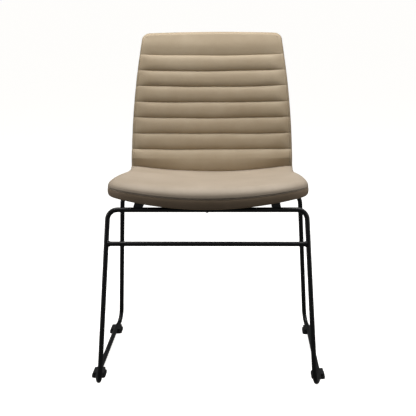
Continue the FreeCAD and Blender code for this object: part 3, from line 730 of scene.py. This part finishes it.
def bumped(tree, source, strength, distance):
    """Normal of a surface raised by a source, up to a distance in metres."""
    node = add(tree, "ShaderNodeBump", {"Strength": strength, "Distance": distance}, {"Height": source})
    return node.outputs["Normal"]


def corrected_leather(name, light, dark, roughness):
    """Corrected-grain upholstery leather, embossed and pigment finished: an even colour with a
    faint cloudiness, a low sheen, and pebbles drawn at 2.4 mm, since the real 0.8 mm wouldn't show."""
    material, tree, place = new_material(name)
    cloud = add(tree, "ShaderNodeTexNoise", {"Scale": 9.0, "Detail": 4.0, "Roughness": 0.6},
                {"Vector": place}).outputs["Fac"]
    height = add(tree, "ShaderNodeMath", {"operation": "MULTIPLY_ADD", 1: 0.6},
                 {0: noise(tree, place, 140.0, 3.0), 2: cells(tree, place, 2.4, 1.0)})
    finish_material(tree, {"IOR": 1.48, "Specular IOR Level": 0.3},
                    {"Base Color": tinted(tree, cloud, dark, light, 0.3, 0.72),
                     "Roughness": between(tree, cloud, roughness - 0.05, roughness + 0.07),
                     "Normal": bumped(tree, height.outputs["Value"], 0.25, 0.0004)})
    return material


def powder_coat(name):
    """Polyester powder coat baked on steel: satin black with a very fine orange peel."""
    material, tree, place = new_material(name)
    peel, wear = noise(tree, place, 700.0, 2.0), noise(tree, place, 25.0, 5.0)
    finish_material(tree, {"Base Color": linear("#0C0C0D"), "IOR": 1.5, "Specular IOR Level": 0.4},
                    {"Roughness": between(tree, wear, 0.3, 0.42), "Normal": bumped(tree, peel, 0.12, 0.0002)})
    return material


def moulded_plastic(name, colour, roughness):
    """Moulded polymer with a fine grain: one even colour, matt, its gloss broken up by the grain."""
    material, tree, place = new_material(name)
    grain = noise(tree, place, 900.0, 3.0)
    finish_material(tree, {"Base Color": linear(colour), "IOR": 1.53},
                    {"Roughness": between(tree, grain, roughness - 0.05, roughness + 0.08),
                     "Normal": bumped(tree, grain, 0.2, 0.0002)})
    return material


def zinc_plate(name):
    """Zinc-plated steel: pale blue-grey metal with a slightly cloudy gloss."""
    material, tree, place = new_material(name)
    dull = between(tree, noise(tree, place, 300.0, 4.0), 0.25, 0.45)
    finish_material(tree, {"Base Color": linear("#B9BEC2"), "Metallic": 1.0}, {"Roughness": dull})
    return material


def birch_ply(name):
    """Raw birch plywood, rotary cut: pale, with a fine grain drawn out along the chair's width."""
    material, tree, place = new_material(name)
    stretch = add(tree, "ShaderNodeMapping", {"Scale": (1.0, 12.0, 12.0)}, {"Vector": place})
    grain = noise(tree, stretch.outputs["Vector"], 30.0, 6.0)
    finish_material(tree, {"Roughness": 0.6, "IOR": 1.5},
                    {"Base Color": tinted(tree, grain, "#B8966A", "#E0C9A0")})
    return material


def bonded_cloth(name):
    """Spunbonded dust cloth, flat pressed: matt black with a dotted weld pattern, drawn at 3 mm."""
    material, tree, place = new_material(name)
    dots = cells(tree, place, 3.0, 0.15)
    finish_material(tree, {"Roughness": 0.9, "IOR": 1.46},
                    {"Base Color": tinted(tree, dots, "#141414", "#2A2927"),
                     "Normal": bumped(tree, dots, 0.3, 0.0003)})
    return material


def matt_paint(name, colour):
    """Matt paint that also glows in its own colour, so that the floor stays nearly white in shadow."""
    material, tree, place = new_material(name)
    finish_material(tree, {"Base Color": linear(colour), "Specular IOR Level": 0.1,
                           "Emission Color": linear(colour), "Emission Strength": 0.98},
                    {"Roughness": between(tree, noise(tree, place, 2.0, 2.0), 0.85, 0.95)})
    return material


# Finish of each material slot, filled in by the first call of finishes
MADE = {}


def finishes():
    """The finish of each material slot of the record."""
    if MADE:
        return MADE
    look = bpy.context.scene.chair_finish
    MADE.update({
        "frame_coat": powder_coat("black_powder_coat"),
        "spacer_plastic": moulded_plastic("spacer_polyamide", "#1E1E1F", 0.5),
        "glide_plastic": moulded_plastic("glide_polyamide", "#151516", 0.45),
        "zinc_steel": zinc_plate("zinc_plated_steel"),
        "plywood": birch_ply("birch_plywood"),
        "foam": moulded_plastic("cut_foam", "#D8CFA8", 0.8),
        "lining_foam": moulded_plastic("thin_lining_foam", "#C9C4B4", 0.8),
        "seat_leather": corrected_leather("seat_top_leather", look.seat_light, look.seat_dark, 0.58),
        "back_leather": corrected_leather("back_channel_leather", look.back_light, look.back_dark, 0.55),
        # The band's leather is darkened to paint in the shade that falls on the forward-facing band under the
        # seat's roll
        "border_leather": corrected_leather("edge_band_leather_painted_shade", look.band_light_with_painted_shade, look.band_dark_with_painted_shade, 0.62),
        "cover_cloth": bonded_cloth("spunbonded_dust_cloth"),
    })
    return MADE


def settle_piece(piece):
    """Puts a piece on the chair's one body."""
    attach(piece, "root")


# Settings

def colour_setting(name, description, default):
    """Setting for a colour."""
    return bpy.props.StringProperty(name=name, description=description, default=default)


def length_setting(name, description, default, least):
    """Setting for a length in metres."""
    return bpy.props.FloatProperty(name=name, description=description, default=default, min=least,
                                   subtype="DISTANCE", unit="LENGTH")


class ChairFinish(bpy.types.PropertyGroup):
    """Colours that a user would change, as sRGB hex values."""
    seat_light: colour_setting("Seat light", "Light tint of the seat leather", "#AA9C8B")
    seat_dark: colour_setting("Seat dark", "Dark tint of the seat leather", "#9E907E")
    back_light: colour_setting("Back light", "Light tint of the back leather", "#AA9A82")
    back_dark: colour_setting("Back dark", "Dark tint of the back leather", "#9D8C73")
    # The band's tints are darker than the seat's: painted shade for the band, which faces forward under the
    # overhanging top
    band_light_with_painted_shade: colour_setting("Border light", "Light tint of the leather of the seat's band", "#8E7C68")
    band_dark_with_painted_shade: colour_setting("Border dark", "Dark tint of the leather of the seat's band", "#7D6B57")
    floor: colour_setting("Floor", "Colour of the studio floor", "#F4F3F1")


class ChairSizes(bpy.types.PropertyGroup):
    """Size of the floor, and the density of the upholstery's mesh."""
    seat_step: length_setting("Seat step", "Width of the seat's mesh faces", 5.0 * MM, 2.0 * MM)
    back_step: length_setting("Back step", "Width of the back's mesh faces", 5.0 * MM, 2.0 * MM)
    floor_half: length_setting("Floor half", "Half width of the studio floor", 200.0, 3.0)


# Operators

class ChairSeatPad(bpy.types.Operator):
    """Seat cushion: top panel rolled over the front and sides, and the upright border under its seam"""
    bl_idname = "chair.seat_pad"
    bl_label = "Seat pad"

    def execute(self, context):
        finish = finishes()
        step = context.scene.chair_sizes.seat_step / MM
        half = seat_half()
        start = at_offset(half, SEAT_END_HALF)[1]
        runs = even_runs(start, CREASE, round((CREASE - start) / step))
        form = PadForm(half, SEAT_END_HALF, round(2 * SEAT_END_HALF / step), runs,
                       settle_between(BEND_START, start), seat_roll)
        panel, border = upholster(form, seat_top, seat_profile, SEAT_PANEL_RINGS,
                                  ("seat_panel", "seat_border"), PLY + GLUE_GAP,
                                  (finish["seat_leather"], finish["border_leather"]))
        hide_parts("seat_top_panel", "seat_foam")
        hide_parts("seat_border_band")
        welt = new_piece("seat_welt", seat_welt(form, CREASE - WELT_END_GAP), finish["seat_leather"])
        settle_piece(welt)
        settle_piece(panel)
        settle_piece(border)
        return {"FINISHED"}


class ChairBackPad(bpy.types.Operator):
    """Back cushion: sewn channels across the front, and the boxed border round its edge"""
    bl_idname = "chair.back_pad"
    bl_label = "Back pad"

    def execute(self, context):
        finish = finishes()
        step = context.scene.chair_sizes.back_step / MM
        half = back_half()
        start = at_offset(half, BACK_END_HALF)[1]
        runs = [s for s in channel_runs(start) if s < start - 1.0]
        form = PadForm(half, BACK_END_HALF, round(2 * BACK_END_HALF / step), runs,
                       settle_between(LAST_GROOVE, start), back_roll, groove_wave)
        panel, border = upholster(form, back_front, back_profile, BACK_PANEL_RINGS,
                                  ("back_panel", "back_border"), PLY + GLUE_GAP,
                                  (finish["back_leather"], finish["back_leather"]))
        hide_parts("back_front_panel", "back_foam")
        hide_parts("back_border_band")
        settle_piece(panel)
        settle_piece(border)
        return {"FINISHED"}


def rear_face(x, s):
    """Depth of the rear panel, crowned a little by the thin foam under it."""
    share = max(0.0, 1 - (x / REAR_CROWN_HALF) ** 2)
    return -REAR_LEATHER - REAR_CROWN * share


def rear_profile(x, s, nx, ns, on_crease):
    """Turned edge of the rear panel, let into the border."""
    high = rear_face(x - REAR_ROLL * nx, s - REAR_ROLL * ns)
    if on_crease:
        return [(0.0, high), (0.0, high), (0.0, REAR_INSIDE), (0.0, REAR_INSIDE)]
    return [(-4.0, high + 0.2), (-3.2, high + 1.1), (-3.2, REAR_INSIDE), (-9.0, REAR_INSIDE)]


class ChairRearPanel(bpy.types.Operator):
    """Thinly padded leather panel on the rear of the back"""
    bl_idname = "chair.rear_panel"
    bl_label = "Rear panel"

    def execute(self, context):
        finish = finishes()
        half = back_half()
        start = at_offset(half, BACK_END_HALF)[1]
        form = PadForm(half, BACK_END_HALF, REAR_COLUMNS, even_runs(start, CREASE, REAR_ROWS),
                       settle_between(LAST_GROOVE, start), lambda nx, ns: REAR_ROLL)
        panel, inside = upholster(form, rear_face, rear_profile, REAR_PANEL_RINGS,
                                  ("rear_panel", "rear_inside"), REAR_INSIDE,
                                  (finish["back_leather"], finish["lining_foam"]))
        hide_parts("back_rear_panel")
        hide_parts("back_rear_lining")
        settle_piece(panel)
        settle_piece(inside)
        return {"FINISHED"}


def over_tab(place):
    """Whether a point in metres lies in the cut-out left for one of the mounting tabs."""
    beside = abs(abs(place.x) / MM - TAB_OFFSET) < TAB_HALF_WIDTH + TAB_CLEARANCE
    setback = place.y / MM + ORIGIN_SETBACK
    return beside and any(low - TAB_CLEARANCE < setback < high + TAB_CLEARANCE for low, high in TAB_SETBACKS)


def cloth_depth(x, s):
    """Depth of the cloth's lower face, which hangs a little slack."""
    return -0.9 - 0.8 * (math.sin(x / 47.0) * math.sin(s / 39.0)) ** 2


class ChairDustCloth(bpy.types.Operator):
    """Dust cloth stretched under the seat, cut out round the mounting tabs"""
    bl_idname = "chair.dust_cloth"
    bl_label = "Dust cloth"

    def execute(self, context):
        half = seat_half()
        start = at_offset(half, SEAT_END_HALF)[1]
        runs = even_runs(start, CREASE - CLOTH_END_GAP, CLOTH_ROWS)
        form = PadForm(half, SEAT_END_HALF, CLOTH_COLUMNS, runs, settle_between(BEND_START, start), seat_roll)
        end, right = form.moved(lambda nx, ns: -CLOTH_MARGIN)
        mesh = self.sheet_of(form.patch(end, in_order(right)))
        # Area of the cloth, measured on the piece itself as half the total of its
        # faces. Measured on the piece itself, so a comparison of the two can't fail
        area = sum(face.calc_area() for face in mesh.faces) / 2
        cloth = new_piece("dust_cloth", mesh, finishes()["cover_cloth"])
        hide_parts("underseat_cover")
        settle_piece(cloth)
        return {"FINISHED"}

    def sheet_of(self, grid):
        """Closed sheet over the cells of a grid that no tab takes."""
        mesh = bmesh.new()
        upper = [[mesh.verts.new(shell_point(x, s, CLOTH_TOP)) for x, s in row] for row in grid]
        lower = [[mesh.verts.new(shell_point(x, s, cloth_depth(x, s))) for x, s in row] for row in grid]
        kept = {(j, i) for j in range(len(grid) - 1) for i in range(len(grid[0]) - 1)
                if not over_tab((upper[j][i].co + upper[j + 1][i + 1].co) / 2)}
        beside = ((-1, 0), (0, 1), (1, 0), (0, -1))
        for j, i in sorted(kept):
            corners = [(j, i), (j, i + 1), (j + 1, i + 1), (j + 1, i)]
            mesh.faces.new([upper[a][b] for a, b in corners])
            mesh.faces.new([lower[a][b] for a, b in reversed(corners)])
            for (a, b), (c, d), (down, over) in zip(corners, corners[1:] + corners[:1], beside):
                if (j + down, i + over) not in kept:
                    mesh.faces.new((upper[c][d], upper[a][b], lower[a][b], lower[c][d]))
        bmesh.ops.delete(mesh, geom=[v for v in mesh.verts if not v.link_faces], context="VERTS")
        bmesh.ops.recalc_face_normals(mesh, faces=mesh.faces)
        return mesh


class ChairFrame(bpy.types.Operator):
    """Finishes of the CAD nodes: steel frame, tabs, spacers, fasteners, glides and plywood shell"""
    bl_idname = "chair.frame"
    bl_label = "Frame finishes"

    def execute(self, context):
        finish = finishes()
        for entry in frame["record"]["subparts"]:
            node = frame["nodes"][entry["node"]]
            material = finish[entry["material_slot"]]
            if not node.material_slots:
                node.data.materials.append(material)
            for place in node.material_slots:
                place.material = material
        return {"FINISHED"}


# Softboxes: name, watts, width and height, place, and the point that each faces, in metres
SOFTBOXES = (
    ("overhead", 36.0, (1.8, 1.2), (0.0, 0.02, 1.9), (0.0, 0.0, 0.45)),
    ("front_fill", 2.5, (2.0, 1.0), (0.0, -2.2, 2.2), (0.0, 0.0, 0.6)),
    ("left_strip", 7.5, (0.5, 1.4), (-1.8, -0.3, 0.9), (0.0, 0.1, 0.6)),
    ("right_strip", 7.0, (0.5, 1.4), (1.8, -0.3, 0.9), (0.0, 0.1, 0.6)),
)
WORLD_LIGHT = 0.12

# Camera, fitted to the photograph: place in metres, yaw, pitch and roll in degrees, lens in millimetres
CAMERA_PLACE = (0.08401, -2.554962, 0.93761)
CAMERA_TURNS = (-1.994, 12.369, -0.444)
CAMERA_LENS = 86.54
CAMERA_SENSOR = 36.0
CAMERA_REACH = 1000.0


class ChairStage(bpy.types.Operator):
    """Studio floor, soft lights and the camera"""
    bl_idname = "chair.stage"
    bl_label = "Stage"

    def execute(self, context):
        scene = context.scene
        self.floor(scene)
        self.lights(scene)
        self.camera(scene)
        return {"FINISHED"}

    def floor(self, scene):
        """Floor that the camera sees, and that sends no light or reflection to the chair."""
        mesh = bmesh.new()
        bmesh.ops.create_grid(mesh, x_segments=4, y_segments=4, size=scene.chair_sizes.floor_half)
        floor = new_piece("floor", mesh, matt_paint("floor_paint", scene.chair_finish.floor))
        floor.visible_diffuse = False
        floor.visible_glossy = False

    def lights(self, scene):
        """Dim even light from all sides, white where the camera sees it, and the softboxes."""
        world = bpy.data.worlds.new("studio")
        world.use_nodes = True
        tree = world.node_tree
        tree.nodes.clear()
        white = (1.0, 1.0, 1.0, 1.0)
        fill_light = add(tree, "ShaderNodeBackground", {"Color": white, "Strength": WORLD_LIGHT})
        backdrop = add(tree, "ShaderNodeBackground", {"Color": white, "Strength": 1.0})
        seen = add(tree, "ShaderNodeLightPath").outputs["Is Camera Ray"]
        both = add(tree, "ShaderNodeMixShader",
                   links={0: seen, 1: fill_light.outputs["Background"], 2: backdrop.outputs["Background"]})
        add(tree, "ShaderNodeOutputWorld", links={"Surface": both.outputs["Shader"]})
        scene.world = world
        scene.view_settings.view_transform = "Standard"
        for softbox in SOFTBOXES:
            self.softbox(scene, *softbox)

    def softbox(self, scene, name, power, size, where, towards):
        """Rectangular area light that faces a point."""
        light = bpy.data.lights.new(name, "AREA")
        light.energy = power
        light.shape = "RECTANGLE"
        light.size, light.size_y = size
        lamp = bpy.data.objects.new(name, light)
        lamp.location = where
        lamp.rotation_euler = (Vector(towards) - Vector(where)).to_track_quat("-Z", "Y").to_euler()
        scene.collection.objects.link(lamp)

    def camera(self, scene):
        """Camera in front of the chair, a little higher than its back, looking slightly down."""
        lens = bpy.data.cameras.new("camera")
        lens.lens = CAMERA_LENS
        lens.sensor_width = CAMERA_SENSOR
        lens.clip_end = CAMERA_REACH
        camera = bpy.data.objects.new("camera", lens)
        yaw, pitch, roll = (math.radians(turn) for turn in CAMERA_TURNS)
        forward = Vector((math.sin(yaw) * math.cos(pitch), math.cos(yaw) * math.cos(pitch), -math.sin(pitch)))
        right = Vector((math.cos(yaw), -math.sin(yaw), 0.0))
        up = right.cross(forward)
        across = math.cos(roll) * right + math.sin(roll) * up
        upward = -math.sin(roll) * right + math.cos(roll) * up
        turn = Matrix((across, upward, -forward)).transposed().to_4x4()
        camera.matrix_world = Matrix.Translation(CAMERA_PLACE) @ turn
        scene.collection.objects.link(camera)
        scene.camera = camera


class ChairPanel(bpy.types.Panel):
    """Lists the chair's settings and steps"""
    bl_label = "Chair"
    bl_idname = "VIEW3D_PT_chair"
    bl_space_type = "VIEW_3D"
    bl_region_type = "UI"
    bl_category = "Chair"

    def draw(self, context):
        for group in (context.scene.chair_finish, context.scene.chair_sizes):
            for name in group.bl_rna.properties.keys():
                if name not in ("rna_type", "name"):
                    self.layout.prop(group, name)
        for operator in OPERATORS:
            self.layout.operator(operator.bl_idname)


OPERATORS = (ChairFrame, ChairSeatPad, ChairBackPad, ChairRearPanel, ChairDustCloth, ChairStage)
CLASSES = (ChairFinish, ChairSizes) + OPERATORS + (ChairPanel,)


def register():
    for item in CLASSES:
        bpy.utils.register_class(item)
    bpy.types.Scene.chair_finish = bpy.props.PointerProperty(type=ChairFinish)
    bpy.types.Scene.chair_sizes = bpy.props.PointerProperty(type=ChairSizes)


def unregister():
    del bpy.types.Scene.chair_sizes
    del bpy.types.Scene.chair_finish
    for item in reversed(CLASSES):
        bpy.utils.unregister_class(item)


def main():
    register()
    bpy.ops.chair.frame()
    bpy.ops.chair.seat_pad()
    bpy.ops.chair.back_pad()
    bpy.ops.chair.rear_panel()
    bpy.ops.chair.dust_cloth()
    bpy.ops.chair.stage()


if __name__ == "__main__":
    main()
